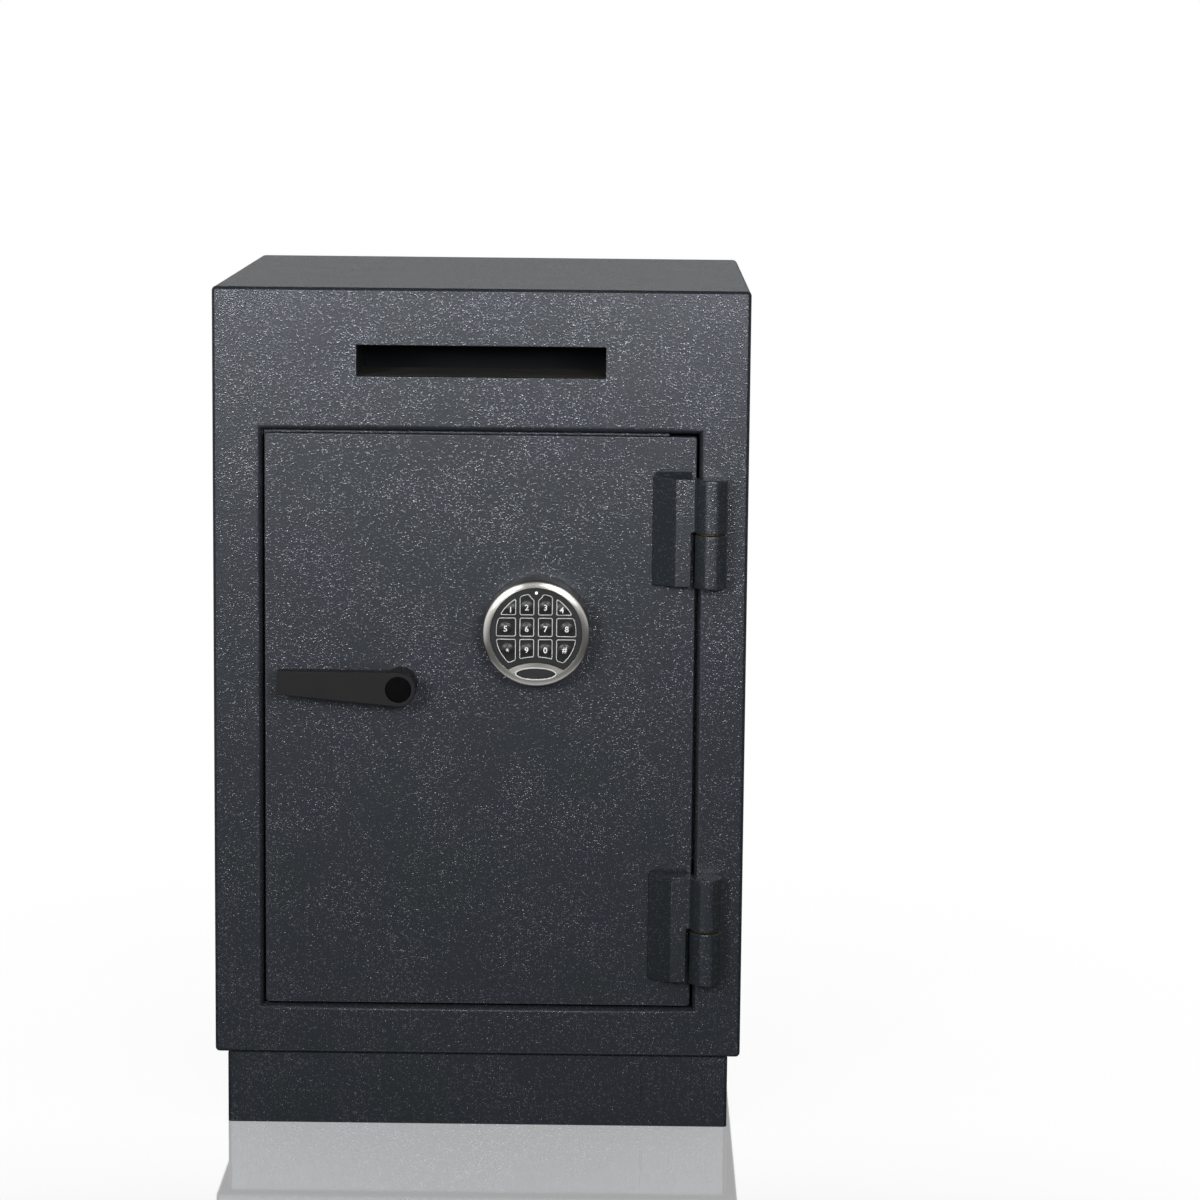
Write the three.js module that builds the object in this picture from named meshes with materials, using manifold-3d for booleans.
// A floor-standing drop safe: a folded steel cabinet on a plinth, with a letter slot and its anti-fishing chute above
// a door on two external barrel hinges. The door carries an electronic keypad, a lever handle and the boltwork.
//
// Lengths are in millimetres. The pieces are drawn as they are seen from the front: X to the right, Y up and Z towards
// the viewer, from the centre of the plinth's footprint on the floor. The last lines turn the whole safe so that
// Z is up and the front faces -Y.

import * as THREE from "three";
import { mergeVertices } from "three/addons/utils/BufferGeometryUtils.js";
import Module from "manifold-3d";

// Fits
const GAP = 0.3; // between pieces that are welded, screwed or rest on each other
const SLIDING_CLEARANCE = 0.5; // round a piece that slides or turns in a hole
const OVERRUN = 1; // how far a cutting shape runs past what it cuts
const MERGE_DISTANCE = 0.0001; // vertices closer than this are one vertex

// Cabinet
const CABINET_WIDTH = 432;
const CABINET_HEIGHT = 630;
const CABINET_DEPTH = 416;
const CABINET_WALL = 5;
const CABINET_BEND_RADIUS = 4; // outside of the wrap's four folds
const BACK_PLATE_THICKNESS = 5;
const BACK_PLATE_RECESS = 2; // in from the wrap's rear edge, which leaves room for the weld

// Front frame
const FRAME_THICKNESS = 5;
const FRAME_EDGE_RADIUS = 3;
const RETURN_DEPTH = 26; // the folded edge of the door opening, measured from the front face
const RETURN_THICKNESS = 5;
const RETURN_BEND_RADIUS = 5;

// Door plate
const DOOR_SIDE_MARGIN = 42; // from the cabinet's side to the door's edge
const DOOR_ABOVE_BASE = 43; // from the cabinet's underside to the door's lower edge
const DOOR_BELOW_TOP = 117; // from the cabinet's top to the door's upper edge
const DOOR_WIDTH = CABINET_WIDTH - 2 * DOOR_SIDE_MARGIN;
const DOOR_HEIGHT = CABINET_HEIGHT - DOOR_ABOVE_BASE - DOOR_BELOW_TOP;
const DOOR_THICKNESS = 10;
const DOOR_GAP = 2; // all round, between the door's edge and the folded opening
const DOOR_CORNER_RADIUS = 2;
const DOOR_EDGE_RADIUS = 1.2;
const STOP_WIDTH = 8; // strips inside the opening that the door closes against
const STOP_THICKNESS = 5;
const STOP_SHORT_OF_HINGE = 24; // how far the strips end before the hinge side

// Deposit slot and chute
const SLOT_WIDTH = 200;
const SLOT_HEIGHT = 25;
const SLOT_BELOW_TOP = 46;
const CHUTE_SHEET = 2;
const CHUTE_REVEAL = 0.5; // the chute is this much larger than the slot on each side
const CHUTE_LENGTH = 88;
const CHUTE_FLANGE = 12;
const HOOD_OVERLAP = 12; // how far the hood slips over the chute
const HOOD_THROAT = 60; // front-to-back size of the drop
const HOOD_BEND_RADIUS = 50;
const HOOD_DROP = 86; // from the hood's roof to its lower edge
const COMB_THICKNESS = 2;
const COMB_ROOT_DROP = 54; // from the hood's roof to the comb's rear edge
const COMB_LENGTH = 44;
const COMB_TOOTH_DEPTH = 12;
const COMB_TOOTH_COUNT = 10;
const COMB_SLOPE = THREE.MathUtils.degToRad(32);

// Plinth
const PLINTH_HEIGHT = 60;
const PLINTH_SIDE_INSET = 10;
const PLINTH_SETBACK = 3; // front and back
const PLINTH_SHEET = 3;
const PLINTH_FLANGE = 34;
const PLINTH_CORNER_RADIUS = 3;
const PLINTH_EDGE_RADIUS = 2;
const ANCHOR_HOLE_RADIUS = 8;
const ANCHOR_HOLE_SPACING = 250;
const PLINTH_BOLT_RADIUS = 6;
const PLINTH_BOLT_EDGE = 18; // from the plinth's outside to the bolt's centre
const PLINTH_BOLT_LENGTH = 20;
const PLINTH_BOLT_HEAD_RADIUS = 10.5;
const PLINTH_BOLT_HEAD_HEIGHT = 7.5;

// Hinges
const HINGE_HEIGHT = 88;
const HINGE_AXIS_PAST_DOOR = 12; // from the door's edge to the pin's centre
const KNUCKLE_RADIUS = 13;
const KNUCKLE_OFF_FACE = 0.5; // running gap between a knuckle and the front face
const UPPER_HINGE_BELOW_DOOR_TOP = 76.5; // to the hinge's middle
const LOWER_HINGE_ABOVE_DOOR_BASE = 67.5;
const HINGE_PIN_RADIUS = 6;
const HINGE_PIN_DEPTH = 38; // how far the pin reaches into each knuckle
const WASHER_THICKNESS = 1;
const WASHER_RADIUS = 11.5;
const LEAF_THICKNESS = 14;
const LEAF_TOE_THICKNESS = 2.5;
const LEAF_REACH = 47; // from the pin's centre to the leaf's thin end
const LEAF_CHAMFER_WIDTH = 18.5;
const LEAF_TO_FRAME_KNUCKLE = 2.7; // open slot beside the fixed knuckle
const UPPER_WELD_HEIGHT = 8;
const LOWER_WELD_HEIGHT = 5;
const WELD_DEPTH = 9;
const WELD_END_ROUNDING = 16; // how far the weld's rounded end reaches along the leaf
const KNUCKLE_FOOT_WIDTH = 15;
const KNUCKLE_FOOT_OFFSET = 3; // the foot's centre, outwards from the pin
const KNUCKLE_FOOT_DEPTH = 8;

// Boltwork case on the back of the door
const CASE_INSET = 18; // from the door's edge
const CASE_DEPTH = 58; // from the door's front face to the case's rear
const CASE_SHEET = 3;
const CASE_FLANGE = 16;
const COVER_THICKNESS = 2;
const COVER_SCREW_RADIUS = 2.5;
const COVER_SCREW_HEAD_RADIUS = 4.6;
const COVER_SCREW_HEAD_HEIGHT = 2.4;
const COVER_SCREW_LENGTH = 7;
const BEHIND_RETURN = 2.5; // clearance between the folded opening and what locks behind it
const DEAD_BAR_REACH = 12; // how far the fixed bar reaches behind the opening on the hinge side
const DEAD_BAR_THICKNESS = 12;
const DEAD_BAR_END_INSET = 29; // from the case's upper and lower sides

// Locking bolts and their carriage
const BOLT_RADIUS = 10;
const BOLT_TRAVEL = 25;
const BOLT_REST_PAST_CASE = 6; // a withdrawn bolt's tip stands this far out of the case
const BOLT_TIP_CHAMFER = 2;
const UPPER_BOLT_BELOW_DOOR_TOP = 48;
const LOWER_BOLT_ABOVE_DOOR_BASE = 112;
const CARRIAGE_SHEET = 5;
const CARRIAGE_INSIDE_CASE = 39; // from the case's outside to the carriage's folded edge
const CARRIAGE_WIDTH = 32;
const CARRIAGE_FLANGE_DEPTH = 24;
const CARRIAGE_OVERHANG = 20; // past the outer bolts' centres
const CARRIAGE_ARM_HEIGHT = 24;
const CARRIAGE_TO_CAM = 1.5;
const FOLLOWER_RADIUS = 4;
const FOLLOWER_CLEARANCE = 0.4;
const FOLLOWER_ARM_END = 7.5; // material beyond the follower's centre

// Handle, spindle and cam
const HANDLE_FROM_DOOR_EDGE = 110;
const HANDLE_BELOW_DOOR_TOP = 203.2;
const HANDLE_FRONT = 33; // how far the lever stands out of the door
const LEVER_LENGTH = 97;
const LEVER_THICKNESS = 12;
const LEVER_END_TOP = 13; // the lever's end, above and below the pivot
const LEVER_END_BOTTOM = -5.3;
const LEVER_CORNER_RADIUS = 1.5;
const LEVER_BEVEL = 0.8;
const HUB_RADIUS = 14;
const HUB_OFF_DOOR = 0.8;
const CAP_RADIUS = 10.6;
const CAP_THICKNESS = 1.6;
const CAP_BELOW_FRONT = 0.7;
const SPINDLE_WIDTH = 8;
const SPINDLE_INTO_LEVER = 20;
const BUSH_RADIUS = 10;
const BUSH_BORE_RADIUS = 6.3;
const BUSH_FLANGE_RADIUS = 15;
const BUSH_FLANGE_THICKNESS = 3;
const CAM_RADIUS = 48;
const CAM_THICKNESS = 6;
const CAM_BEHIND_DOOR_FACE = 20.5; // from the door's front face to the cam's front
const CAM_HUB_RADIUS = 10;
const CAM_SLOT_START = 16; // the follower's distance from the pivot with the bolts withdrawn
const CAM_SLOT_STEPS = 16;
const CAM_NOTCH_WIDTH = 22;
const CAM_NOTCH_DEPTH = 11;
const HANDLE_TURN = Math.PI / 2;
const RETAINER_RADIUS = 7;
const RETAINER_THICKNESS = 4;

// Electronic lock inside the case
const LOCK_WIDTH = 84;
const LOCK_HEIGHT = 61;
const LOCK_THICKNESS = 30;
const LOCK_TO_CAM = 4;
const LOCK_BOLT_WIDTH = 19;
const LOCK_BOLT_THICKNESS = 10;
const LOCK_BOLT_LENGTH = 36;
const LOCK_BOLT_REST_REACH = 2.5; // how far the withdrawn bolt stands out of the lock
const LOCK_BOLT_TRAVEL = 10;

// Keypad
const KEYPAD_X = 46.4;
const KEYPAD_BELOW_DOOR_TOP = 156.4;
const KEYPAD_RADIUS = 43.6;
const KEYPAD_FRONT = 32; // how far the rim stands out of the door
const KEYPAD_MOUNT_RADIUS = 44.4;
const KEYPAD_MOUNT_THICKNESS = 3;
const KEYPAD_CAVITY_RADIUS = 39;
const RIM_WIDTH = 5.5;
const RIM_HEIGHT = 6;
const FACE_RADIUS = 37.2;
const FACE_BELOW_RIM = 1.2;
const FACE_FLANGE_RADIUS = 38.5;
const FACE_FLANGE_THICKNESS = 2;
const FACE_TOTAL_THICKNESS = 3.9;
const CRESCENT_ARC_RADIUS = 45.5;
const CRESCENT_ARC_DROP = 68.9; // from the keypad's centre down to the arc's centre
const BADGE_HALF_WIDTH = 15.4;
const BADGE_HALF_HEIGHT = 4.1;
const BADGE_DROP = 32.6;
const BADGE_DEPTH = 0.6;
const KEY_FIELD_RADIUS = 32.8;
const KEY_ARC_RADIUS = 49.5;
const KEY_CLEARANCE = 0.25;
const KEY_THICKNESS = 2.6;
const KEY_RAISED = 0.2;
const KEY_INNER_EDGE = 1.4; // the columns, outwards from the centre line
const KEY_MIDDLE_EDGE = 13.4;
const KEY_OUTER_EDGE = 16;
const KEY_TOP_ROW_BOTTOM = 14.7; // the rows, up from the centre
const KEY_MIDDLE_ROW_TOP = 12.9;
const KEY_MIDDLE_ROW_BOTTOM = -2.7;
const KEY_BOTTOM_ROW_TOP = -4.4;
const DOME_RADIUS = 5.2;
const DOME_HEIGHT = 1;
const DOME_INNER_X = 7.5;
const DOME_OUTER_TOP_X = 20.5;
const DOME_OUTER_MIDDLE_X = 24.6;
const DOME_OUTER_BOTTOM_X = 22.9;
const DOME_INNER_TOP_Y = 21.4;
const DOME_OUTER_TOP_Y = 19.6;
const DOME_MIDDLE_Y = 4;
const DOME_BOTTOM_Y = -13.2;
const LED_RADIUS = 1.3;
const LED_Y = 32.7;
const LED_NOTCH_RADIUS = 5.2;
const BOARD_RADIUS = 36;
const BOARD_THICKNESS = 1.6;
const BATTERY_WIDTH = 48.5;
const BATTERY_HEIGHT = 26.5;
const BATTERY_THICKNESS = 17.5;
const BATTERY_DROP = 10;
const LEAD_HOLE_RADIUS = 4; // lets the keypad's lead through to the lock
const LEAD_HOLE_RISE = 10; // above the keypad's centre

// How finely round shapes are drawn
const SHAFT_SIDES = 16;
const BARREL_SIDES = 24;
const RING_SIDES = 40;
const SMALL_SIDES = 8;
const FILLET_STEPS = 3;
const DOME_STEPS = 2;

// Places that several pieces share
const FRONT = CABINET_DEPTH / 2;
const DOOR_BACK = FRONT - DOOR_THICKNESS;
const CABINET_BASE = PLINTH_HEIGHT;
const CABINET_TOP = CABINET_BASE + CABINET_HEIGHT;
const DOOR_LEFT = -DOOR_WIDTH / 2;
const DOOR_RIGHT = DOOR_WIDTH / 2;
const DOOR_BASE = CABINET_BASE + DOOR_ABOVE_BASE;
const DOOR_TOP = DOOR_BASE + DOOR_HEIGHT;
const OPENING = {
  left: DOOR_LEFT - DOOR_GAP,
  right: DOOR_RIGHT + DOOR_GAP,
  bottom: DOOR_BASE - DOOR_GAP,
  top: DOOR_TOP + DOOR_GAP,
};
const LOCK_PLANE = FRONT - RETURN_DEPTH - BEHIND_RETURN; // front of the bolts and the dead bar
const HINGE_X = DOOR_RIGHT + HINGE_AXIS_PAST_DOOR;
const HINGE_Z = FRONT + KNUCKLE_RADIUS + KNUCKLE_OFF_FACE;
const CASE = {
  left: DOOR_LEFT + CASE_INSET,
  right: DOOR_RIGHT - CASE_INSET,
  bottom: DOOR_BASE + CASE_INSET,
  top: DOOR_TOP - CASE_INSET,
  front: DOOR_BACK - GAP,
  back: FRONT - CASE_DEPTH,
};
const HANDLE_X = DOOR_LEFT + HANDLE_FROM_DOOR_EDGE;
const HANDLE_Y = DOOR_TOP - HANDLE_BELOW_DOOR_TOP;
const KEYPAD_Y = DOOR_TOP - KEYPAD_BELOW_DOOR_TOP;
const CAM_FRONT = FRONT - CAM_BEHIND_DOOR_FACE;
const CAM_BACK = CAM_FRONT - CAM_THICKNESS;
const CAM_RISE = BOLT_TRAVEL / HANDLE_TURN; // travel per radian of the handle

const wasm = await Module();
wasm.setup();

// Solids

function toSolid(geometry) {
  const bare = geometry.index ? geometry.toNonIndexed() : geometry.clone();
  bare.deleteAttribute("normal");
  bare.deleteAttribute("uv");
  const merged = mergeVertices(bare, MERGE_DISTANCE);
  return new wasm.Manifold(
    new wasm.Mesh({
      numProp: 3,
      vertProperties: merged.attributes.position.array,
      triVerts: new Uint32Array(merged.index.array),
    }),
  );
}

function toGeometry(solid) {
  const mesh = solid.getMesh();
  const geometry = new THREE.BufferGeometry();
  geometry.setAttribute("position", new THREE.BufferAttribute(new Float32Array(mesh.vertProperties), 3));
  geometry.setIndex(new THREE.BufferAttribute(new Uint32Array(mesh.triVerts), 1));
  return geometry.toNonIndexed();
}

function block(x0, x1, y0, y1, z0, z1) {
  const geometry = new THREE.BoxGeometry(x1 - x0, y1 - y0, z1 - z0);
  return toSolid(geometry.translate((x0 + x1) / 2, (y0 + y1) / 2, (z0 + z1) / 2));
}

// A round bar standing upright.
function barY(x, z, radius, y0, y1, sides) {
  const geometry = new THREE.CylinderGeometry(radius, radius, y1 - y0, sides);
  return toSolid(geometry.translate(x, (y0 + y1) / 2, z));
}

// A round bar that points at the viewer.
function barZ(x, y, radius, z0, z1, sides) {
  const geometry = new THREE.CylinderGeometry(radius, radius, z1 - z0, sides);
  geometry.rotateX(Math.PI / 2);
  return toSolid(geometry.translate(x, y, (z0 + z1) / 2));
}

// A round bar that lies from left to right, with its left end chamfered.
function barX(y, z, radius, x0, x1, chamfer, sides) {
  const profile = [
    new THREE.Vector2(0, x0),
    new THREE.Vector2(radius - chamfer, x0),
    new THREE.Vector2(radius, x0 + chamfer),
    new THREE.Vector2(radius, x1),
    new THREE.Vector2(0, x1),
  ];
  const geometry = new THREE.LatheGeometry(profile, sides);
  geometry.rotateZ(-Math.PI / 2);
  return toSolid(geometry.translate(0, y, z));
}

// A flat shape given thickness towards the viewer.
function prismZ(shape, z0, z1) {
  const geometry = new THREE.ExtrudeGeometry(shape, { depth: z1 - z0, bevelEnabled: false });
  return toSolid(geometry.translate(0, 0, z0));
}

// A side-view outline, drawn as (Z, Y) points, given width from left to right.
function prismX(points, x0, x1) {
  const shape = new THREE.Shape(points.map(([z, y]) => new THREE.Vector2(-z, y)));
  const geometry = new THREE.ExtrudeGeometry(shape, { depth: x1 - x0, bevelEnabled: false });
  geometry.rotateY(Math.PI / 2);
  return toSolid(geometry.translate(x0, 0, 0));
}

// A plan-view outline, drawn as (X, Z) points, given height.
function prismY(points, y0, y1) {
  const shape = new THREE.Shape(points.map(([x, z]) => new THREE.Vector2(x, -z)));
  const geometry = new THREE.ExtrudeGeometry(shape, { depth: y1 - y0, bevelEnabled: false });
  geometry.rotateX(-Math.PI / 2);
  return toSolid(geometry.translate(0, y0, 0));
}

function arcPoints(cx, cy, radius, from, to, steps) {
  return Array.from({ length: steps + 1 }, (_, i) => {
    const angle = from + ((to - from) * i) / steps;
    return [cx + radius * Math.cos(angle), cy + radius * Math.sin(angle)];
  });
}

function rectangleOutline({ left, right, bottom, top }, grow, radius) {
  const r = Math.max(radius, MERGE_DISTANCE * 10);
  const [x0, x1, y0, y1] = [left - grow + r, right + grow - r, bottom - grow + r, top + grow - r];
  const quarter = Math.PI / 2;
  return [
    ...arcPoints(x1, y1, r, 0, quarter, FILLET_STEPS),
    ...arcPoints(x0, y1, r, quarter, 2 * quarter, FILLET_STEPS),
    ...arcPoints(x0, y0, r, 2 * quarter, 3 * quarter, FILLET_STEPS),
    ...arcPoints(x1, y0, r, 3 * quarter, 4 * quarter, FILLET_STEPS),
  ];
}

// A closed skin through outlines with the same number of points, each at its own Z, from back to front.
function loft(sections) {
  const count = sections[0].outline.length;
  const points = sections.flatMap(({ z, outline }) => outline.map(([x, y]) => [x, y, z]));
  const faces = [];
  for (let level = 0; level + 1 < sections.length; level++) {
    for (let i = 0; i < count; i++) {
      const a = level * count + i;
      const b = level * count + ((i + 1) % count);
      faces.push([a, b, b + count], [a, b + count, a + count]);
    }
  }
  const cap = THREE.ShapeUtils.triangulateShape(
    sections[0].outline.map(([x, y]) => new THREE.Vector2(x, y)),
    [],
  );
  const last = (sections.length - 1) * count;
  cap.forEach(([a, b, c]) => faces.push([c, b, a], [last + a, last + b, last + c]));
  const geometry = new THREE.BufferGeometry();
  const positions = new Float32Array(faces.flat().flatMap((i) => points[i]));
  geometry.setAttribute("position", new THREE.BufferAttribute(positions, 3));
  return toSolid(geometry);
}

// A plate whose front edge is rounded.
function roundedPlate(rectangle, cornerRadius, edgeRadius, back, front) {
  const sections = [{ z: back, outline: rectangleOutline(rectangle, 0, cornerRadius) }];
  for (let i = 0; i <= FILLET_STEPS; i++) {
    const angle = (Math.PI / 2) * (i / FILLET_STEPS);
    const inset = edgeRadius * (1 - Math.cos(angle));
    const z = front - edgeRadius * (1 - Math.sin(angle));
    sections.push({ z, outline: rectangleOutline(rectangle, -inset, cornerRadius - inset) });
  }
  return loft(sections);
}

// The cutting shape of an opening whose front edge is rolled over with a bend radius.
function rolledOpening(rectangle, bendRadius, back, front) {
  const sections = [{ z: back, outline: rectangleOutline(rectangle, 0, 0) }];
  for (let i = 0; i <= FILLET_STEPS; i++) {
    const angle = (Math.PI / 2) * (i / FILLET_STEPS);
    const grow = bendRadius * (1 - Math.cos(angle));
    sections.push({ z: front - bendRadius * (1 - Math.sin(angle)), outline: rectangleOutline(rectangle, grow, 0) });
  }
  sections.push({ z: front + OVERRUN, outline: rectangleOutline(rectangle, bendRadius, 0) });
  return loft(sections);
}

// Materials

const paint = new THREE.MeshStandardMaterial({ name: "textured_paint", color: 0x3c4045, roughness: 0.5, metalness: 0.1 });
const blackPaint = new THREE.MeshStandardMaterial({ name: "black_paint", color: 0x121315, roughness: 0.3, metalness: 0.1 });
const handleCoat = new THREE.MeshStandardMaterial({ name: "handle_coat", color: 0x242425, roughness: 0.55 });
const blackPlastic = new THREE.MeshStandardMaterial({ name: "black_plastic", color: 0x0e0e10, roughness: 0.45 });
const satinChrome = new THREE.MeshStandardMaterial({ name: "satin_chrome", color: 0xb9b7b2, roughness: 0.3, metalness: 1 });
const keyRubber = new THREE.MeshStandardMaterial({ name: "key_film", color: 0x151617, roughness: 0.35 });
const zincSteel = new THREE.MeshStandardMaterial({ name: "zinc_steel", color: 0xa6a8aa, roughness: 0.35, metalness: 1 });
const brightSteel = new THREE.MeshStandardMaterial({ name: "bright_steel", color: 0xc2c4c6, roughness: 0.2, metalness: 1 });
const brass = new THREE.MeshStandardMaterial({ name: "brass", color: 0xb08d4a, roughness: 0.3, metalness: 1 });
const lens = new THREE.MeshStandardMaterial({ name: "led_lens", color: 0xf4f4f0, roughness: 0.15 });
const circuitBoard = new THREE.MeshStandardMaterial({ name: "circuit_board", color: 0x1d5a34, roughness: 0.5 });

const safe = new THREE.Group();
const cabinet = new THREE.Group();
const door = new THREE.Group();
const handle = new THREE.Group();
const boltCarriage = new THREE.Group();
const keypad = new THREE.Group();
handle.position.set(HANDLE_X, HANDLE_Y, FRONT);
keypad.position.set(KEYPAD_X, KEYPAD_Y, FRONT);
door.add(handle, boltCarriage, keypad);
safe.add(cabinet, door);

function place(group, name, solid, material) {
  const mesh = new THREE.Mesh(toGeometry(solid), material);
  mesh.geometry.computeVertexNormals();
  mesh.name = name;
  group.add(mesh);
  return mesh;
}

// Cabinet wrap: top, sides and floor folded from one sheet, open at the front and back

function plinthBoltPlaces() {
  const x = CABINET_WIDTH / 2 - PLINTH_SIDE_INSET - PLINTH_BOLT_EDGE;
  const z = CABINET_DEPTH / 2 - PLINTH_SETBACK - PLINTH_BOLT_EDGE;
  return [[-x, z], [x, z], [-x, -z], [x, -z]];
}

function anchorPlaces() {
  return [[0, ANCHOR_HOLE_SPACING / 2], [0, -ANCHOR_HOLE_SPACING / 2]];
}

function makeCabinetWrap() {
  const outside = {
    left: -CABINET_WIDTH / 2,
    right: CABINET_WIDTH / 2,
    bottom: CABINET_BASE,
    top: CABINET_TOP,
  };
  const back = -CABINET_DEPTH / 2;
  const front = FRONT - FRAME_THICKNESS - GAP;
  const tube = loft([back, front].map((z) => ({ z, outline: rectangleOutline(outside, 0, CABINET_BEND_RADIUS) })));
  const bore = loft(
    [back - OVERRUN, front + OVERRUN].map((z) => ({ z, outline: rectangleOutline(outside, -CABINET_WALL, 0) })),
  );
  let wrap = tube.subtract(bore);
  const [low, high] = [CABINET_BASE - OVERRUN, CABINET_BASE + CABINET_WALL + OVERRUN];
  for (const [x, z] of plinthBoltPlaces()) {
    wrap = wrap.subtract(barY(x, z, PLINTH_BOLT_RADIUS + SLIDING_CLEARANCE, low, high, SMALL_SIDES));
  }
  for (const [x, z] of anchorPlaces()) {
    wrap = wrap.subtract(barY(x, z, ANCHOR_HOLE_RADIUS, low, high, SHAFT_SIDES));
  }
  place(cabinet, "cabinet_wrap", wrap, paint);
}

// Back plate, welded inside the wrap

function makeBackPlate() {
  const inside = CABINET_WALL + GAP;
  const back = -CABINET_DEPTH / 2 + BACK_PLATE_RECESS;
  const plate = block(
    -CABINET_WIDTH / 2 + inside,
    CABINET_WIDTH / 2 - inside,
    CABINET_BASE + inside,
    CABINET_TOP - inside,
    back,
    back + BACK_PLATE_THICKNESS,
  );
  place(cabinet, "back_plate", plate, paint);
}

// Front frame: a plate with rounded edges, folded inwards round the door opening and cut for the slot

const SLOT = {
  left: -SLOT_WIDTH / 2,
  right: SLOT_WIDTH / 2,
  bottom: CABINET_TOP - SLOT_BELOW_TOP - SLOT_HEIGHT,
  top: CABINET_TOP - SLOT_BELOW_TOP,
};

function makeFrontFrame() {
  const outside = {
    left: -CABINET_WIDTH / 2,
    right: CABINET_WIDTH / 2,
    bottom: CABINET_BASE,
    top: CABINET_TOP,
  };
  const plate = roundedPlate(outside, CABINET_BEND_RADIUS, FRAME_EDGE_RADIUS, FRONT - FRAME_THICKNESS, FRONT);
  const returns = loft(
    [FRONT - RETURN_DEPTH, FRONT - FRAME_THICKNESS / 2].map((z) => ({
      z,
      outline: rectangleOutline(OPENING, RETURN_THICKNESS, 0),
    })),
  );
  const opening = rolledOpening(OPENING, RETURN_BEND_RADIUS, FRONT - RETURN_DEPTH - OVERRUN, FRONT);
  const slot = block(
    SLOT.left,
    SLOT.right,
    SLOT.bottom,
    SLOT.top,
    FRONT - FRAME_THICKNESS - OVERRUN,
    FRONT + OVERRUN,
  );
  place(cabinet, "front_frame", plate.add(returns).subtract(opening).subtract(slot), paint);
}

// Door stop: strips on three sides of the opening that the closed door rests against

function makeDoorStop() {
  const outer = {
    left: OPENING.left + GAP,
    right: OPENING.right - STOP_SHORT_OF_HINGE,
    bottom: OPENING.bottom + GAP,
    top: OPENING.top - GAP,
  };
  const front = DOOR_BACK - GAP;
  const back = front - STOP_THICKNESS;
  const ring = block(outer.left, outer.right, outer.bottom, outer.top, back, front);
  const inside = block(
    outer.left + STOP_WIDTH,
    outer.right + OVERRUN,
    outer.bottom + STOP_WIDTH,
    outer.top - STOP_WIDTH,
    back - OVERRUN,
    front + OVERRUN,
  );
  place(cabinet, "door_stop", ring.subtract(inside), paint);
}

// Plinth: a shallow steel tray with inward flanges at the top, bolted under the cabinet

function makePlinth() {
  const outside = {
    left: -CABINET_WIDTH / 2 + PLINTH_SIDE_INSET,
    right: CABINET_WIDTH / 2 - PLINTH_SIDE_INSET,
    bottom: -CABINET_DEPTH / 2 + PLINTH_SETBACK,
    top: CABINET_DEPTH / 2 - PLINTH_SETBACK,
  };
  const top = PLINTH_HEIGHT - GAP;
  // The tray is drawn in plan, lying on its back, and then stood up.
  const tray = roundedPlate(outside, PLINTH_CORNER_RADIUS, PLINTH_EDGE_RADIUS, 0, top);
  const cavity = loft(
    [PLINTH_SHEET, top - PLINTH_SHEET].map((z) => ({ z, outline: rectangleOutline(outside, -PLINTH_SHEET, 0) })),
  );
  const mouth = loft(
    [top / 2, top + OVERRUN].map((z) => ({ z, outline: rectangleOutline(outside, -PLINTH_FLANGE, 0) })),
  );
  let plinth = tray.subtract(cavity).subtract(mouth);
  for (const [x, z] of plinthBoltPlaces()) {
    const radius = PLINTH_BOLT_RADIUS + SLIDING_CLEARANCE;
    plinth = plinth.subtract(barZ(x, -z, radius, top / 2, top + OVERRUN, SMALL_SIDES));
  }
  for (const [x, z] of anchorPlaces()) {
    plinth = plinth.subtract(barZ(x, -z, ANCHOR_HOLE_RADIUS, -OVERRUN, top / 2, SHAFT_SIDES));
  }
  const mesh = place(cabinet, "plinth", plinth, paint);
  mesh.rotation.x = -Math.PI / 2;
}

function makePlinthBolts() {
  const seat = CABINET_BASE + CABINET_WALL + GAP;
  plinthBoltPlaces().forEach(([x, z], i) => {
    const shank = barY(x, z, PLINTH_BOLT_RADIUS, seat - PLINTH_BOLT_LENGTH, seat + OVERRUN, SMALL_SIDES);
    const head = barY(x, z, PLINTH_BOLT_HEAD_RADIUS, seat, seat + PLINTH_BOLT_HEAD_HEIGHT, 6);
    place(cabinet, "plinth_bolt_" + (i + 1), shank.add(head), zincSteel);
  });
}

// Deposit chute: a flanged tunnel behind the slot

const CHUTE = {
  left: SLOT.left - CHUTE_REVEAL - CHUTE_SHEET,
  right: SLOT.right + CHUTE_REVEAL + CHUTE_SHEET,
  bottom: SLOT.bottom - CHUTE_REVEAL - CHUTE_SHEET,
  top: SLOT.top + CHUTE_REVEAL + CHUTE_SHEET,
  front: FRONT - FRAME_THICKNESS - GAP,
  back: FRONT - FRAME_THICKNESS - GAP - CHUTE_LENGTH,
};

function makeDepositChute() {
  const tube = block(CHUTE.left, CHUTE.right, CHUTE.bottom, CHUTE.top, CHUTE.back, CHUTE.front);
  const flange = block(
    CHUTE.left - CHUTE_FLANGE,
    CHUTE.right + CHUTE_FLANGE,
    CHUTE.bottom - CHUTE_FLANGE,
    CHUTE.top + CHUTE_FLANGE,
    CHUTE.front - CHUTE_SHEET,
    CHUTE.front,
  );
  const bore = block(
    CHUTE.left + CHUTE_SHEET,
    CHUTE.right - CHUTE_SHEET,
    CHUTE.bottom + CHUTE_SHEET,
    CHUTE.top - CHUTE_SHEET,
    CHUTE.back - OVERRUN,
    CHUTE.front + OVERRUN,
  );
  place(cabinet, "deposit_chute", tube.add(flange).subtract(bore), blackPaint);
}

// Chute hood: a collar over the chute whose curved back turns a deposit downwards

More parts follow.
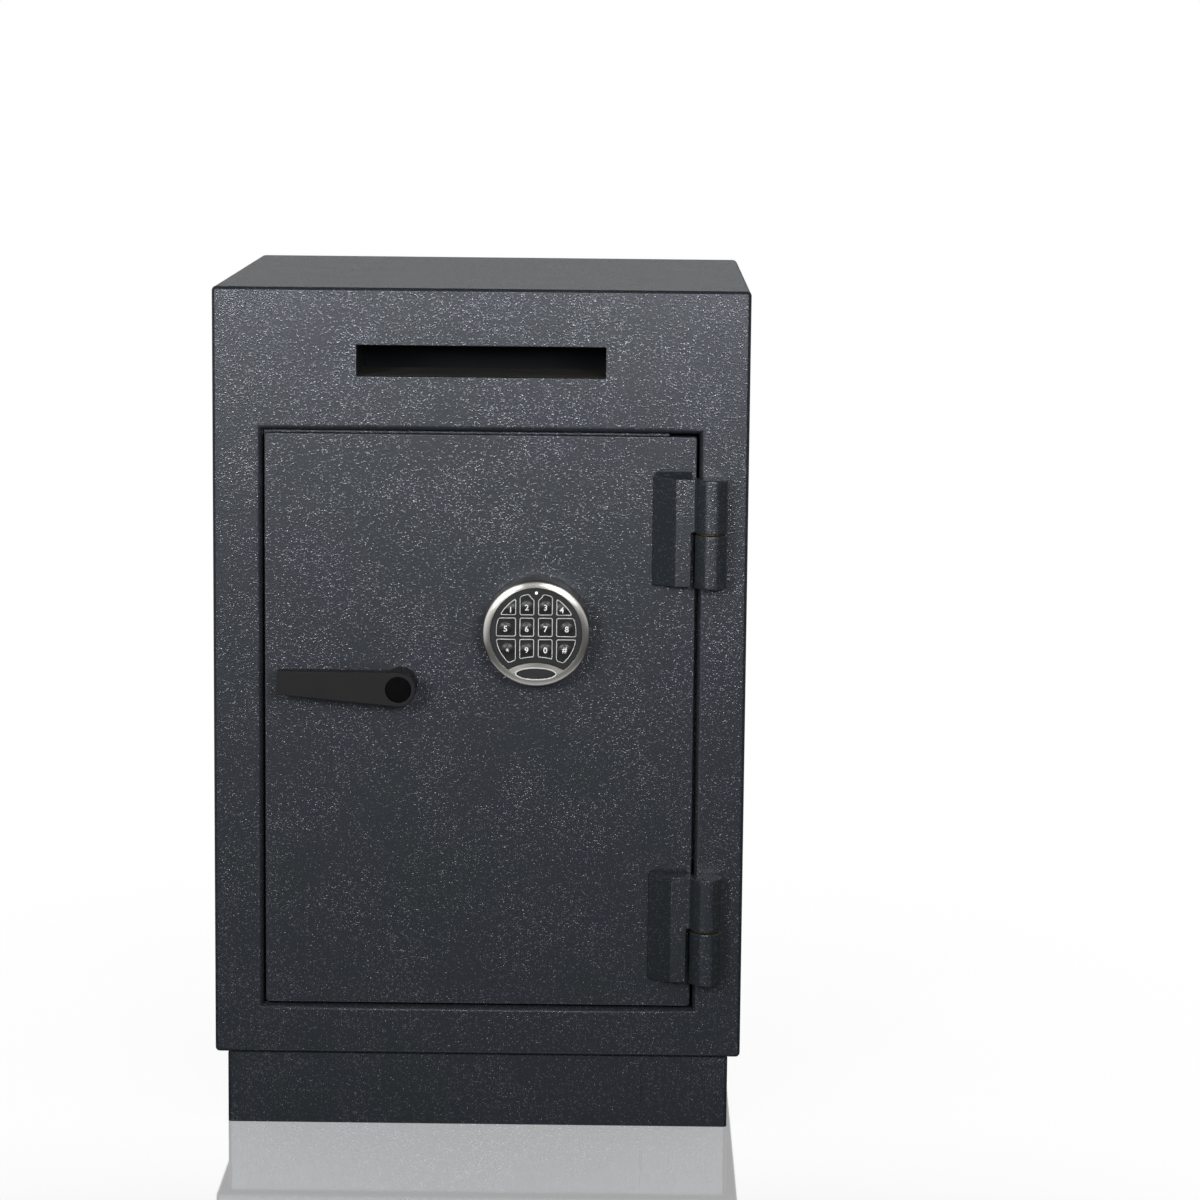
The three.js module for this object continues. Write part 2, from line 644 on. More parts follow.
const HOOD = {
  left: CHUTE.left - GAP - CHUTE_SHEET,
  right: CHUTE.right + GAP + CHUTE_SHEET,
  roof: CHUTE.top + GAP,
  floor: CHUTE.bottom - GAP,
  mouth: CHUTE.back + HOOD_OVERLAP,
  throatFront: CHUTE.back,
  throatBack: CHUTE.back - HOOD_THROAT,
  bottom: CHUTE.top + GAP - HOOD_DROP,
};

// The hood's side view, grown outwards by the sheet's thickness for its outer skin.
function hoodOutline(grow, runOut) {
  const arcZ = HOOD.throatBack + HOOD_BEND_RADIUS;
  const arcY = HOOD.roof - HOOD_BEND_RADIUS;
  const bend = arcPoints(arcZ, arcY, HOOD_BEND_RADIUS + grow, Math.PI / 2, Math.PI, 3 * FILLET_STEPS);
  return [
    [HOOD.mouth + runOut, HOOD.floor - grow],
    [HOOD.mouth + runOut, HOOD.roof + grow],
    ...bend,
    [HOOD.throatBack - grow, HOOD.bottom - runOut],
    [HOOD.throatFront + grow, HOOD.bottom - runOut],
    [HOOD.throatFront + grow, HOOD.floor - grow],
  ];
}

function makeChuteHood() {
  const skin = prismX(hoodOutline(CHUTE_SHEET, 0), HOOD.left, HOOD.right);
  const duct = prismX(hoodOutline(0, OVERRUN), HOOD.left + CHUTE_SHEET, HOOD.right - CHUTE_SHEET);
  place(cabinet, "chute_hood", skin.subtract(duct), blackPaint);
}

// Anti-fishing comb: a sloping toothed plate across the drop

function makeAntiFishingComb() {
  const left = HOOD.left + CHUTE_SHEET + GAP;
  const right = HOOD.right - CHUTE_SHEET - GAP;
  const pitch = (right - left) / COMB_TOOTH_COUNT;
  const shape = new THREE.Shape();
  shape.moveTo(left, 0);
  for (let i = 0; i < COMB_TOOTH_COUNT; i++) {
    shape.lineTo(left + pitch * i, -COMB_LENGTH + COMB_TOOTH_DEPTH);
    shape.lineTo(left + pitch * (i + 1 / 2), -COMB_LENGTH);
  }
  shape.lineTo(right, -COMB_LENGTH + COMB_TOOTH_DEPTH);
  shape.lineTo(right, 0);
  const mesh = place(cabinet, "anti_fishing_comb", prismZ(shape, 0, COMB_THICKNESS), zincSteel);
  // Drawn hanging down, it turns about its rear edge until it slopes towards the front.
  mesh.rotation.x = COMB_SLOPE - Math.PI / 2;
  mesh.position.set(0, HOOD.roof - COMB_ROOT_DROP, HOOD.throatBack + GAP);
}

// Hinges: a leaf with the upper knuckle on the door, a fixed knuckle on the frame, a pin and a thrust washer

function leafOutline() {
  const face = FRONT + GAP;
  const toe = HINGE_X - LEAF_REACH;
  const heel = HINGE_X - KNUCKLE_RADIUS - LEAF_TO_FRAME_KNUCKLE;
  return [
    [toe, face],
    [heel, face],
    [heel, FRONT + LEAF_THICKNESS],
    [toe + LEAF_CHAMFER_WIDTH, FRONT + LEAF_THICKNESS],
    [toe, FRONT + LEAF_TOE_THICKNESS],
  ];
}

// The weld fillet along the leaf's upper end: a hollow curve from the door's face up to the leaf.
function weldOutline(high, weldHeight) {
  const face = FRONT + GAP;
  const hollow = arcPoints(1, 1, 1, -Math.PI / 2, -Math.PI, FILLET_STEPS);
  return [
    [face, high - OVERRUN],
    [face + WELD_DEPTH, high - OVERRUN],
    ...hollow.map(([across, up]) => [face + WELD_DEPTH * across, high + weldHeight * up]),
  ];
}

// The same weld seen from the front: it rises in a quarter oval from the leaf's thin end.
function weldSpan(high, weldHeight) {
  const toe = HINGE_X - LEAF_REACH;
  const rounded = arcPoints(1, 0, 1, Math.PI, Math.PI / 2, FILLET_STEPS);
  const shape = new THREE.Shape();
  shape.moveTo(DOOR_RIGHT, high - OVERRUN);
  shape.lineTo(DOOR_RIGHT, high + weldHeight);
  for (const [across, up] of rounded.toReversed()) {
    shape.lineTo(toe + WELD_END_ROUNDING * across, high + weldHeight * up);
  }
  shape.lineTo(toe, high - OVERRUN);
  shape.closePath();
  return shape;
}

function makeHinge(prefix, centre, weldHeight) {
  const low = centre - HINGE_HEIGHT / 2;
  const high = centre + HINGE_HEIGHT / 2;
  const washerLow = centre - WASHER_THICKNESS / 2;
  const washerHigh = centre + WASHER_THICKNESS / 2;
  const toe = HINGE_X - LEAF_REACH;
  const heel = HINGE_X - KNUCKLE_RADIUS - LEAF_TO_FRAME_KNUCKLE;
  const pinBore = (y0, y1) => barY(HINGE_X, HINGE_Z, HINGE_PIN_RADIUS + SLIDING_CLEARANCE, y0, y1, SHAFT_SIDES);

  const plate = prismY(leafOutline(), low, high);
  const arm = block(
    heel - OVERRUN,
    HINGE_X,
    washerHigh + GAP,
    high,
    FRONT + LEAF_TOE_THICKNESS,
    FRONT + LEAF_THICKNESS,
  );
  const knuckle = barY(HINGE_X, HINGE_Z, KNUCKLE_RADIUS, washerHigh + GAP, high, BARREL_SIDES);
  const face = FRONT + GAP;
  const aboveLeaf = prismY(leafOutline(), high - OVERRUN, high + weldHeight + OVERRUN);
  const span = prismZ(weldSpan(high, weldHeight), face, FRONT + LEAF_THICKNESS);
  const weld = prismX(weldOutline(high, weldHeight), toe, DOOR_RIGHT).intersect(span).intersect(aboveLeaf);
  const blindEnd = washerHigh + HINGE_PIN_DEPTH + OVERRUN;
  const leaf = plate.add(arm).add(knuckle).add(weld);
  place(door, prefix + "_hinge_leaf", leaf.subtract(pinBore(washerHigh - OVERRUN, blindEnd)), paint);

  const fixed = barY(HINGE_X, HINGE_Z, KNUCKLE_RADIUS, low, washerLow - GAP, BARREL_SIDES);
  const footCentre = HINGE_X + KNUCKLE_FOOT_OFFSET;
  const foot = block(
    footCentre - KNUCKLE_FOOT_WIDTH / 2,
    footCentre + KNUCKLE_FOOT_WIDTH / 2,
    low,
    washerLow - GAP,
    face,
    face + KNUCKLE_FOOT_DEPTH,
  );
  const blindBase = washerLow - HINGE_PIN_DEPTH;
  const bored = fixed.add(foot).subtract(pinBore(blindBase - GAP, washerLow + OVERRUN));
  place(cabinet, prefix + "_frame_knuckle", bored, paint);

  const pin = barY(HINGE_X, HINGE_Z, HINGE_PIN_RADIUS, blindBase, washerHigh + HINGE_PIN_DEPTH, SHAFT_SIDES);
  place(cabinet, prefix + "_hinge_pin", pin, brightSteel);

  const disc = barY(HINGE_X, HINGE_Z, WASHER_RADIUS, washerLow, washerHigh, SHAFT_SIDES);
  const washer = disc.subtract(pinBore(washerLow - OVERRUN, washerHigh + OVERRUN));
  place(cabinet, prefix + "_thrust_washer", washer, brass);
}

// Door plate

function makeDoorPlate() {
  const outside = { left: DOOR_LEFT, right: DOOR_RIGHT, bottom: DOOR_BASE, top: DOOR_TOP };
  const plate = roundedPlate(outside, DOOR_CORNER_RADIUS, DOOR_EDGE_RADIUS, DOOR_BACK, FRONT);
  const [low, high] = [DOOR_BACK - OVERRUN, FRONT + OVERRUN];
  const spindleHole = barZ(HANDLE_X, HANDLE_Y, BUSH_RADIUS + GAP, low, high, SHAFT_SIDES);
  const leadHole = barZ(KEYPAD_X, KEYPAD_Y + LEAD_HOLE_RISE, LEAD_HOLE_RADIUS, low, high, SMALL_SIDES);
  place(door, "door_plate", plate.subtract(spindleHole).subtract(leadHole), paint);
}

// Boltwork case: a folded frame on the back of the door, with a flange that carries the cover

function caseScrewPlaces() {
  const inset = CASE_FLANGE / 2;
  const [x0, x1] = [CASE.left + inset, CASE.right - inset];
  const [y0, y1] = [CASE.bottom + inset, CASE.top - inset];
  return [[x0, y0], [x1, y0], [x0, y1], [x1, y1]];
}

function boltHeights() {
  return [DOOR_BASE + LOWER_BOLT_ABOVE_DOOR_BASE, HANDLE_Y, DOOR_TOP - UPPER_BOLT_BELOW_DOOR_TOP];
}

function makeBoltworkCase() {
  const shell = block(CASE.left, CASE.right, CASE.bottom, CASE.top, CASE.back, CASE.front);
  const cavity = block(
    CASE.left + CASE_SHEET,
    CASE.right - CASE_SHEET,
    CASE.bottom + CASE_SHEET,
    CASE.top - CASE_SHEET,
    CASE.back + CASE_SHEET,
    CASE.front + OVERRUN,
  );
  const window = block(
    CASE.left + CASE_FLANGE,
    CASE.right - CASE_FLANGE,
    CASE.bottom + CASE_FLANGE,
    CASE.top - CASE_FLANGE,
    CASE.back - OVERRUN,
    CASE.front,
  );
  let box = shell.subtract(cavity).subtract(window);
  for (const y of boltHeights()) {
    const [x0, x1] = [CASE.left - OVERRUN, CASE.left + CASE_SHEET + OVERRUN];
    box = box.subtract(barX(y, LOCK_PLANE - BOLT_RADIUS, BOLT_RADIUS + SLIDING_CLEARANCE, x0, x1, 0, BARREL_SIDES));
  }
  for (const [x, y] of caseScrewPlaces()) {
    const [z0, z1] = [CASE.back - OVERRUN, CASE.back + CASE_SHEET + OVERRUN];
    box = box.subtract(barZ(x, y, COVER_SCREW_RADIUS + GAP, z0, z1, SMALL_SIDES));
  }
  place(door, "boltwork_case", box, zincSteel);
}

function makeBoltworkCover() {
  const front = CASE.back - GAP;
  const back = front - COVER_THICKNESS;
  let cover = block(CASE.left, CASE.right, CASE.bottom, CASE.top, back, front);
  for (const [x, y] of caseScrewPlaces()) {
    cover = cover.subtract(barZ(x, y, COVER_SCREW_RADIUS + GAP, back - OVERRUN, front + OVERRUN, SMALL_SIDES));
  }
  place(door, "boltwork_cover", cover, paint);
  caseScrewPlaces().forEach(([x, y], i) => {
    const seat = back - GAP;
    const shank = barZ(x, y, COVER_SCREW_RADIUS, seat - OVERRUN, seat + COVER_SCREW_LENGTH, SMALL_SIDES);
    const head = barZ(x, y, COVER_SCREW_HEAD_RADIUS, seat - COVER_SCREW_HEAD_HEIGHT, seat, SMALL_SIDES);
    place(door, "cover_screw_" + (i + 1), shank.add(head), zincSteel);
  });
}

// Dead bar: fixed behind the opening's edge on the hinge side, so that cut hinges don't free the door

function makeDeadBar() {
  const bar = block(
    CASE.right + GAP,
    OPENING.right + DEAD_BAR_REACH,
    CASE.bottom + DEAD_BAR_END_INSET,
    CASE.top - DEAD_BAR_END_INSET,
    LOCK_PLANE - DEAD_BAR_THICKNESS,
    LOCK_PLANE,
  );
  place(door, "hinge_side_dead_bar", bar, zincSteel);
}

// Locking bolts and the carriage that drives them, drawn withdrawn

const CARRIAGE_LEFT = CASE.left + CARRIAGE_INSIDE_CASE;
const CARRIAGE_FRONT = CAM_BACK - CARRIAGE_TO_CAM;
const FOLLOWER_X = HANDLE_X - CAM_SLOT_START;

function makeBoltCarriage() {
  const [lowest, , highest] = boltHeights();
  const low = lowest - CARRIAGE_OVERHANG;
  const high = highest + CARRIAGE_OVERHANG;
  const back = CARRIAGE_FRONT - CARRIAGE_SHEET;
  const flange = block(
    CARRIAGE_LEFT,
    CARRIAGE_LEFT + CARRIAGE_SHEET,
    low,
    high,
    CARRIAGE_FRONT - CARRIAGE_FLANGE_DEPTH,
    CARRIAGE_FRONT,
  );
  const strip = block(CARRIAGE_LEFT, CARRIAGE_LEFT + CARRIAGE_WIDTH, low, high, back, CARRIAGE_FRONT);
  const arm = block(
    CARRIAGE_LEFT,
    FOLLOWER_X + FOLLOWER_ARM_END,
    HANDLE_Y - CARRIAGE_ARM_HEIGHT / 2,
    HANDLE_Y + CARRIAGE_ARM_HEIGHT / 2,
    back,
    CARRIAGE_FRONT,
  );
  const hole = barZ(FOLLOWER_X, HANDLE_Y, FOLLOWER_RADIUS + GAP, back - OVERRUN, CARRIAGE_FRONT + OVERRUN, SHAFT_SIDES);
  place(boltCarriage, "bolt_carriage", flange.add(strip).add(arm).subtract(hole), zincSteel);
  const follower = barZ(FOLLOWER_X, HANDLE_Y, FOLLOWER_RADIUS, back, CAM_FRONT - GAP, SHAFT_SIDES);
  place(boltCarriage, "cam_follower", follower, brightSteel);
  ["lower", "middle", "upper"].forEach((which, i) => {
    const tip = CASE.left - BOLT_REST_PAST_CASE;
    const [y, z] = [boltHeights()[i], LOCK_PLANE - BOLT_RADIUS];
    const bolt = barX(y, z, BOLT_RADIUS, tip, CARRIAGE_LEFT - GAP, BOLT_TIP_CHAMFER, BARREL_SIDES);
    place(boltCarriage, which + "_locking_bolt", bolt, brightSteel);
  });
}

// Handle group: lever, cap, square spindle and the cam, drawn about the pivot at the door's front face

function leverShape() {
  const tail = Math.atan2(HUB_RADIUS + LEVER_END_BOTTOM, LEVER_LENGTH);
  const end = -LEVER_LENGTH;
  const shape = new THREE.Shape();
  shape.moveTo(0, HUB_RADIUS);
  shape.lineTo(end + LEVER_CORNER_RADIUS, LEVER_END_TOP);
  shape.lineTo(end, LEVER_END_TOP - LEVER_CORNER_RADIUS);
  shape.lineTo(end, LEVER_END_BOTTOM + LEVER_CORNER_RADIUS);
  shape.lineTo(end + LEVER_CORNER_RADIUS, LEVER_END_BOTTOM);
  shape.absarc(0, 0, HUB_RADIUS, -Math.PI / 2 - tail, Math.PI / 2, false);
  return shape;
}

function squareBar(width, z0, z1) {
  return block(-width / 2, width / 2, -width / 2, width / 2, z0, z1);
}

function makeHandle() {
  const lever = new THREE.ExtrudeGeometry(leverShape(), {
    depth: LEVER_THICKNESS - 2 * LEVER_BEVEL,
    bevelThickness: LEVER_BEVEL,
    bevelSize: LEVER_BEVEL,
    bevelOffset: -LEVER_BEVEL,
    bevelSegments: 1,
    curveSegments: SHAFT_SIDES,
  });
  lever.translate(0, 0, HANDLE_FRONT - LEVER_THICKNESS + LEVER_BEVEL);
  const hub = barZ(0, 0, HUB_RADIUS, HUB_OFF_DOOR, HANDLE_FRONT - LEVER_THICKNESS / 2, BARREL_SIDES);
  const socket = squareBar(SPINDLE_WIDTH + 2 * GAP, HUB_OFF_DOOR - OVERRUN, SPINDLE_INTO_LEVER + GAP);
  const capFront = HANDLE_FRONT - CAP_BELOW_FRONT;
  const capBack = capFront - CAP_THICKNESS;
  const recess = barZ(0, 0, CAP_RADIUS + GAP, capBack - GAP, HANDLE_FRONT + OVERRUN, BARREL_SIDES);
  place(handle, "lever_handle", toSolid(lever).add(hub).subtract(socket).subtract(recess), handleCoat);
  place(handle, "handle_cap", barZ(0, 0, CAP_RADIUS, capBack, capFront, BARREL_SIDES), blackPlastic);
  const spindleBack = CAM_BACK - FRONT - GAP - RETAINER_THICKNESS;
  place(handle, "spindle", squareBar(SPINDLE_WIDTH, spindleBack, SPINDLE_INTO_LEVER), brightSteel);
}

// The slot that moves the follower evenly outwards as the cam turns.
function camSlotShape() {
  const half = FOLLOWER_RADIUS + FOLLOWER_CLEARANCE;
  const at = (turn) => {
    const radius = CAM_SLOT_START + CAM_RISE * turn;
    return new THREE.Vector2(-radius * Math.cos(turn), radius * Math.sin(turn));
  };
  const tangent = (turn) => {
    const radius = CAM_SLOT_START + CAM_RISE * turn;
    const x = -CAM_RISE * Math.cos(turn) + radius * Math.sin(turn);
    const y = CAM_RISE * Math.sin(turn) + radius * Math.cos(turn);
    return new THREE.Vector2(x, y).normalize();
  };
  const side = (sign) =>
    Array.from({ length: CAM_SLOT_STEPS + 1 }, (_, i) => {
      const turn = (HANDLE_TURN * i) / CAM_SLOT_STEPS;
      const along = tangent(turn);
      return at(turn).add(new THREE.Vector2(-along.y, along.x).multiplyScalar(sign * half));
    });
  const end = (turn, direction) => {
    const along = tangent(turn).multiplyScalar(direction);
    const first = Math.atan2(along.y, along.x) - Math.PI / 2;
    return arcPoints(at(turn).x, at(turn).y, half, first, first + Math.PI, 2 * FILLET_STEPS).slice(1, -1);
  };
  const asPoints = (pairs) => pairs.map(([x, y]) => new THREE.Vector2(x, y));
  return new THREE.Shape([
    ...side(-1),
    ...asPoints(end(HANDLE_TURN, 1)),
    ...side(1).reverse(),
    ...asPoints(end(0, -1)),
  ]);
}

function makeCam() {
  const [back, front] = [CAM_BACK - FRONT, CAM_FRONT - FRONT];
  const hubFront = -DOOR_THICKNESS - GAP - BUSH_FLANGE_THICKNESS - GAP;
  const disc = barZ(0, 0, CAM_RADIUS, back, front, RING_SIDES);
  const hub = barZ(0, 0, CAM_HUB_RADIUS, front - OVERRUN, hubFront, SHAFT_SIDES);
  const slot = prismZ(camSlotShape(), back - OVERRUN, front + OVERRUN);
  const square = squareBar(SPINDLE_WIDTH + 2 * GAP, back - OVERRUN, hubFront + OVERRUN);
  const inner = CAM_RADIUS - CAM_NOTCH_DEPTH;
  const half = CAM_NOTCH_WIDTH / 2;
  const openNotch = block(inner, CAM_RADIUS + OVERRUN, -half, half, back - OVERRUN, front + OVERRUN);
  const lockedNotch = block(-half, half, -CAM_RADIUS - OVERRUN, -inner, back - OVERRUN, front + OVERRUN);
  const cam = disc.add(hub).subtract(slot).subtract(square).subtract(openNotch).subtract(lockedNotch);
  place(handle, "cam_disc", cam, zincSteel);
  const collarFront = back - GAP;
  const collar = barZ(0, 0, RETAINER_RADIUS, collarFront - RETAINER_THICKNESS, collarFront, SHAFT_SIDES);
  const bore = squareBar(SPINDLE_WIDTH + 2 * GAP, collarFront - RETAINER_THICKNESS - OVERRUN, collarFront + OVERRUN);
  place(handle, "cam_retainer", collar.subtract(bore), brightSteel);
}

// Bush: carries the spindle through the door

function makeHandleBush() {
  const flangeFront = DOOR_BACK - GAP;
  const flangeBack = flangeFront - BUSH_FLANGE_THICKNESS;
  const sleeve = barZ(HANDLE_X, HANDLE_Y, BUSH_RADIUS, flangeBack, FRONT - GAP, SHAFT_SIDES);
  const flange = barZ(HANDLE_X, HANDLE_Y, BUSH_FLANGE_RADIUS, flangeBack, flangeFront, SHAFT_SIDES);
  const bore = barZ(HANDLE_X, HANDLE_Y, BUSH_BORE_RADIUS, flangeBack - OVERRUN, FRONT + OVERRUN, SHAFT_SIDES);
  place(door, "handle_bush", sleeve.add(flange).subtract(bore), brass);
}

// Electronic lock: its bolt slides into a notch in the cam's rim

const LOCK = {
  left: HANDLE_X + CAM_RADIUS + LOCK_TO_CAM,
  right: HANDLE_X + CAM_RADIUS + LOCK_TO_CAM + LOCK_WIDTH,
  bottom: HANDLE_Y - LOCK_HEIGHT / 2,
  top: HANDLE_Y + LOCK_HEIGHT / 2,
  front: DOOR_BACK - GAP,
  back: DOOR_BACK - GAP - LOCK_THICKNESS,
};

function lockBoltBar(grow, x0, x1) {
  const middle = (CAM_FRONT + CAM_BACK) / 2;
  const half = LOCK_BOLT_THICKNESS / 2 + grow;
  const halfWidth = LOCK_BOLT_WIDTH / 2 + grow;
  return block(x0, x1, HANDLE_Y - halfWidth, HANDLE_Y + halfWidth, middle - half, middle + half);
}

function makeLock() {
  const body = block(LOCK.left, LOCK.right, LOCK.bottom, LOCK.top, LOCK.back, LOCK.front);
  const tip = LOCK.left - LOCK_BOLT_REST_REACH;
  const pocket = lockBoltBar(SLIDING_CLEARANCE, LOCK.left - OVERRUN, tip + LOCK_BOLT_LENGTH + SLIDING_CLEARANCE);
  place(door, "lock_case", body.subtract(pocket), blackPaint);
  place(door, "lock_bolt", lockBoltBar(0, tip, tip + LOCK_BOLT_LENGTH), brass);
}

// Keypad, drawn about its centre at the door's front face

// The panel that shows inside the rim: a disc cut by the crescent's arc.
function faceShape(grow) {
  const radius = FACE_RADIUS + grow;
  const arcRadius = CRESCENT_ARC_RADIUS - grow;
  const drop = CRESCENT_ARC_DROP;
  const y = (arcRadius ** 2 - radius ** 2 - drop ** 2) / (2 * drop);
  const x = Math.sqrt(radius ** 2 - y ** 2);
  const shape = new THREE.Shape();
  shape.absarc(0, 0, radius, Math.atan2(y, x), Math.PI - Math.atan2(y, x), false);
  shape.absarc(0, -drop, arcRadius, Math.atan2(y + drop, -x), Math.atan2(y + drop, x), true);
  return shape;
}

function facePrism(grow, z0, z1) {
  const geometry = new THREE.ExtrudeGeometry(faceShape(grow), {
    depth: z1 - z0,
    bevelEnabled: false,
    curveSegments: RING_SIDES / 2,
  });
  return toSolid(geometry.translate(0, 0, z0));
}

const FACE_FRONT = KEYPAD_FRONT - FACE_BELOW_RIM;
const FACE_BACK = FACE_FRONT - FACE_TOTAL_THICKNESS;
const HOUSING_BACK = GAP + KEYPAD_MOUNT_THICKNESS + GAP;

function makeKeypadHousing() {
  const rimStart = KEYPAD_FRONT - RIM_HEIGHT;
  const rim = arcPoints(0, 0, 1, 0, Math.PI / 2, FILLET_STEPS).map(
    ([across, up]) =>
      new THREE.Vector2(KEYPAD_RADIUS - RIM_WIDTH + RIM_WIDTH * across, rimStart + RIM_HEIGHT * up),
  );
  const profile = [
    new THREE.Vector2(0, HOUSING_BACK),
    new THREE.Vector2(KEYPAD_RADIUS, HOUSING_BACK),
    ...rim,
    new THREE.Vector2(0, KEYPAD_FRONT),
  ];
  const body = new THREE.LatheGeometry(profile, RING_SIDES);
  body.rotateX(Math.PI / 2);
  const cavityFront = FACE_BACK + FACE_FLANGE_THICKNESS + GAP;
  const cavity = barZ(0, 0, KEYPAD_CAVITY_RADIUS, HOUSING_BACK - OVERRUN, cavityFront, RING_SIDES);
  const window = facePrism(GAP, cavityFront - OVERRUN, KEYPAD_FRONT + OVERRUN);
  const oval = new THREE.Shape();
  oval.absellipse(0, -BADGE_DROP, BADGE_HALF_WIDTH, BADGE_HALF_HEIGHT, 0, 2 * Math.PI, false, 0);
  const badge = prismZ(oval, KEYPAD_FRONT - BADGE_DEPTH, KEYPAD_FRONT + OVERRUN);
  const housing = toSolid(body).subtract(cavity).subtract(window).subtract(badge);
  place(keypad, "keypad_housing", housing, satinChrome);
}

// Where keys may lie: inside a circle, above the crescent and clear of the status light.
function keyField(grow, z0, z1) {
  const circle = barZ(0, 0, KEY_FIELD_RADIUS + grow, z0, z1, RING_SIDES);
  const lower = barZ(0, -CRESCENT_ARC_DROP, KEY_ARC_RADIUS - grow, z0 - OVERRUN, z1 + OVERRUN, RING_SIDES);
  const light = barZ(0, LED_Y, LED_NOTCH_RADIUS - grow, z0 - OVERRUN, z1 + OVERRUN, SMALL_SIDES);
  return circle.subtract(lower).subtract(light);
}

// One row for each key: its cell's columns and rows, and the middle of its dome.
function keyTable() {
  const far = KEY_FIELD_RADIUS + OVERRUN;
  const inner = [KEY_INNER_EDGE, KEY_MIDDLE_EDGE];
  const outer = [KEY_OUTER_EDGE, far];
  const top = [KEY_TOP_ROW_BOTTOM, far];
  const middle = [KEY_MIDDLE_ROW_BOTTOM, KEY_MIDDLE_ROW_TOP];
  const bottom = [-far, KEY_BOTTOM_ROW_TOP];
  const rows = [
    { row: top, outerDome: [DOME_OUTER_TOP_X, DOME_OUTER_TOP_Y], innerDome: [DOME_INNER_X, DOME_INNER_TOP_Y] },
    { row: middle, outerDome: [DOME_OUTER_MIDDLE_X, DOME_MIDDLE_Y], innerDome: [DOME_INNER_X, DOME_MIDDLE_Y] },
    { row: bottom, outerDome: [DOME_OUTER_BOTTOM_X, DOME_BOTTOM_Y], innerDome: [DOME_INNER_X, DOME_BOTTOM_Y] },
  ];
  const names = ["1", "2", "3", "4", "5", "6", "7", "8", "star", "9", "0", "hash"];
  return rows.flatMap(({ row, outerDome, innerDome }, i) =>
    [[-1, outer, outerDome], [-1, inner, innerDome], [1, inner, innerDome], [1, outer, outerDome]].map(
      ([sign, column, dome], j) => ({
        name: "key_" + names[4 * i + j],
        left: Math.min(sign * column[0], sign * column[1]),
        right: Math.max(sign * column[0], sign * column[1]),
        bottom: row[0],
        top: row[1],
        dome: [sign * dome[0], dome[1]],
      }),
    ),
  );
}

function keyCell(key, grow, z0, z1) {
  const cell = block(key.left - grow, key.right + grow, key.bottom - grow, key.top + grow, z0, z1);
  return cell.intersect(keyField(grow, z0, z1));
}

function makeKeys() {
  const front = FACE_FRONT + KEY_RAISED;
  const back = front - KEY_THICKNESS;
  const sphere = (DOME_RADIUS ** 2 + DOME_HEIGHT ** 2) / (2 * DOME_HEIGHT);
  const halfAngle = Math.asin(DOME_RADIUS / sphere);
  const cap = arcPoints(0, DOME_HEIGHT - sphere, sphere, Math.PI / 2 - halfAngle, Math.PI / 2, DOME_STEPS);
  for (const key of keyTable()) {
    const plate = keyCell(key, 0, back, front);
    const profile = [new THREE.Vector2(0, -OVERRUN), new THREE.Vector2(DOME_RADIUS, -OVERRUN)];
    cap.forEach(([x, y]) => profile.push(new THREE.Vector2(Math.max(x, 0), y)));
    profile[profile.length - 1].x = 0;
    const dome = new THREE.LatheGeometry(profile, SHAFT_SIDES);
    dome.rotateX(Math.PI / 2);
    dome.translate(key.dome[0], key.dome[1], front);
    const within = keyCell(key, 0, back, front + DOME_HEIGHT + OVERRUN);
    place(keypad, key.name, plate.add(toSolid(dome).intersect(within)), keyRubber);
  }
}

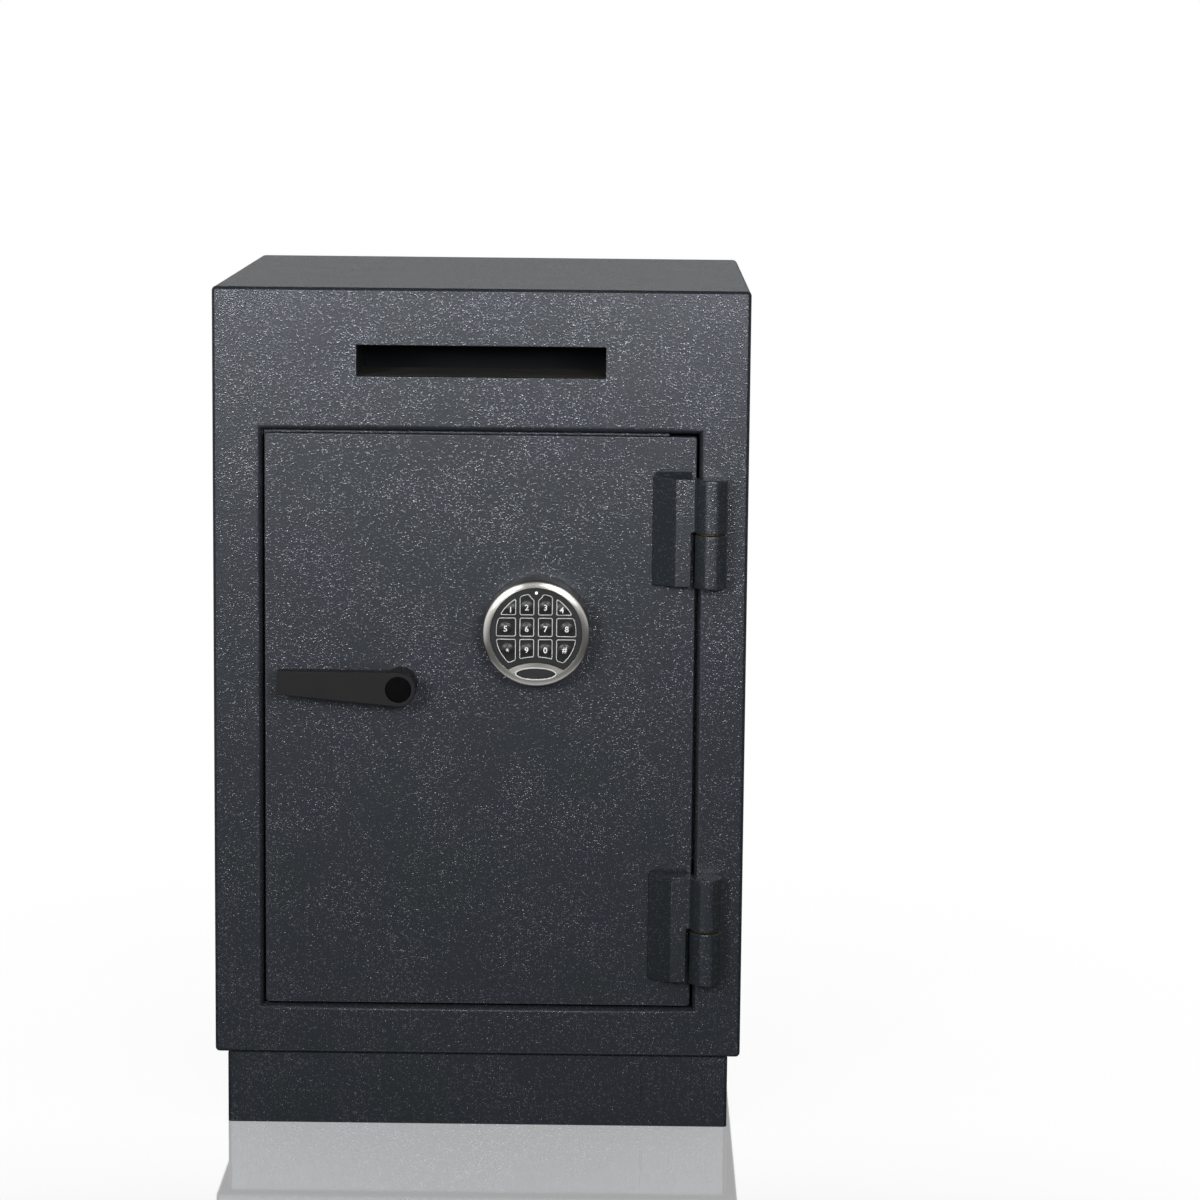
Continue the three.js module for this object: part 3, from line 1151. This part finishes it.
function makeKeypadFace() {
  const flange = barZ(0, 0, FACE_FLANGE_RADIUS, FACE_BACK, FACE_BACK + FACE_FLANGE_THICKNESS, RING_SIDES);
  let face = facePrism(0, FACE_BACK, FACE_FRONT).add(flange);
  const [low, high] = [FACE_BACK - OVERRUN, FACE_FRONT + OVERRUN];
  for (const key of keyTable()) {
    face = face.subtract(keyCell(key, KEY_CLEARANCE, low, high));
  }
  face = face.subtract(barZ(0, LED_Y, LED_RADIUS + KEY_CLEARANCE, low, high, SHAFT_SIDES));
  place(keypad, "keypad_face", face, blackPlastic);
  place(keypad, "status_led", barZ(0, LED_Y, LED_RADIUS, FACE_BACK, FACE_FRONT + KEY_RAISED, SHAFT_SIDES), lens);
}

function makeKeypadInsides() {
  const hole = (z0, z1) => barZ(0, LEAD_HOLE_RISE, LEAD_HOLE_RADIUS, z0, z1, SMALL_SIDES);
  const mountFront = GAP + KEYPAD_MOUNT_THICKNESS;
  const disc = barZ(0, 0, KEYPAD_MOUNT_RADIUS, GAP, mountFront, RING_SIDES);
  place(keypad, "keypad_mount", disc.subtract(hole(GAP - OVERRUN, mountFront + OVERRUN)), blackPlastic);
  const boardFront = FACE_BACK - GAP;
  const board = barZ(0, 0, BOARD_RADIUS, boardFront - BOARD_THICKNESS, boardFront, RING_SIDES);
  place(keypad, "keypad_circuit_board", board, circuitBoard);
  const batteryBack = mountFront + GAP;
  const battery = block(
    -BATTERY_WIDTH / 2,
    BATTERY_WIDTH / 2,
    -BATTERY_DROP - BATTERY_HEIGHT / 2,
    -BATTERY_DROP + BATTERY_HEIGHT / 2,
    batteryBack,
    batteryBack + BATTERY_THICKNESS,
  );
  place(keypad, "keypad_battery", battery, blackPaint);
}

makeCabinetWrap();
makeBackPlate();
makeFrontFrame();
makeDoorStop();
makePlinth();
makePlinthBolts();
makeDepositChute();
makeChuteHood();
makeAntiFishingComb();
makeDoorPlate();
makeHinge("upper", DOOR_TOP - UPPER_HINGE_BELOW_DOOR_TOP, UPPER_WELD_HEIGHT);
makeHinge("lower", DOOR_BASE + LOWER_HINGE_ABOVE_DOOR_BASE, LOWER_WELD_HEIGHT);
makeBoltworkCase();
makeBoltworkCover();
makeDeadBar();
makeBoltCarriage();
makeHandle();
makeCam();
makeHandleBush();
makeLock();
makeKeypadHousing();
makeKeypadFace();
makeKeys();
makeKeypadInsides();

// From the drawn frame, with Y up, to the part's own frame, with Z up and the front facing -Y.
safe.rotation.x = Math.PI / 2;

export default safe;
